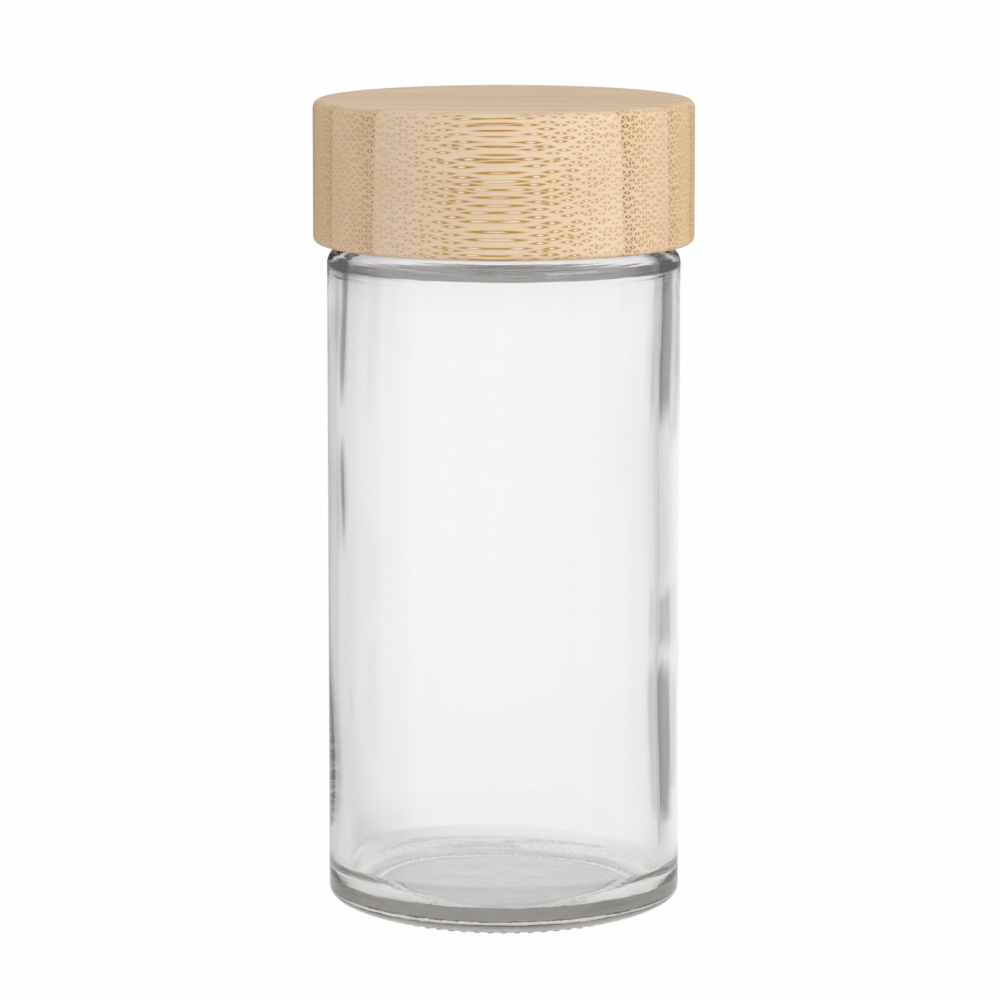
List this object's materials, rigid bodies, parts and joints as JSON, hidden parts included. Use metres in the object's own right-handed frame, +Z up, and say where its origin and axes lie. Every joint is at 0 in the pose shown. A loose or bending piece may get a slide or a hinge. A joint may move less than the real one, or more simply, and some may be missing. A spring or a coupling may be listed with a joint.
{
  "type": "spice jar",
  "caption": "Round clear glass spice jar with a rounded shoulder, knurled base and a screw cap turned from laminated bamboo over a threaded insert and sealing liner.",
  "frame": {"origin": "middle of the base, on the surface that the jar stands on", "axes": "+Z up along the jar's axis, -Y towards the front of the picture"},
  "size_m": [0.05, 0.05, 0.1075],
  "materials": {
    "glass": "clear polished soda-lime glass",
    "bamboo": "sanded and lightly oiled laminated bamboo",
    "insert_plastic": "moulded white polypropylene",
    "liner_foam": "soft closed-cell sealing foam"
  },
  "bodies": {
    "jar": {"glass_jar": "glass"},
    "seal": {"seal_liner": "liner_foam"},
    "cap": {"cap_stave_1": "bamboo", "cap_stave_2": "bamboo", "cap_stave_3": "bamboo", "cap_stave_4": "bamboo", "cap_stave_5": "bamboo", "cap_stave_6": "bamboo", "cap_stave_7": "bamboo", "cap_stave_8": "bamboo", "screw_insert": "insert_plastic"}
  },
  "joints": [
    {"name": "cap_lift", "type": "slide", "parent": "jar", "child": "seal", "axis": [0, 0, 1], "range_m": [0, 0.01692]},
    {"name": "cap_turn", "type": "hinge", "parent": "seal", "child": "cap", "pos_m": [0, 0, 0.098], "axis": [0, 0, 1], "range_deg": [0, 1440]}
  ],
  "couplings": [
    {"joint": "cap_lift", "follows": "cap_turn", "m_per_rad": 0.00067323}
  ]
}
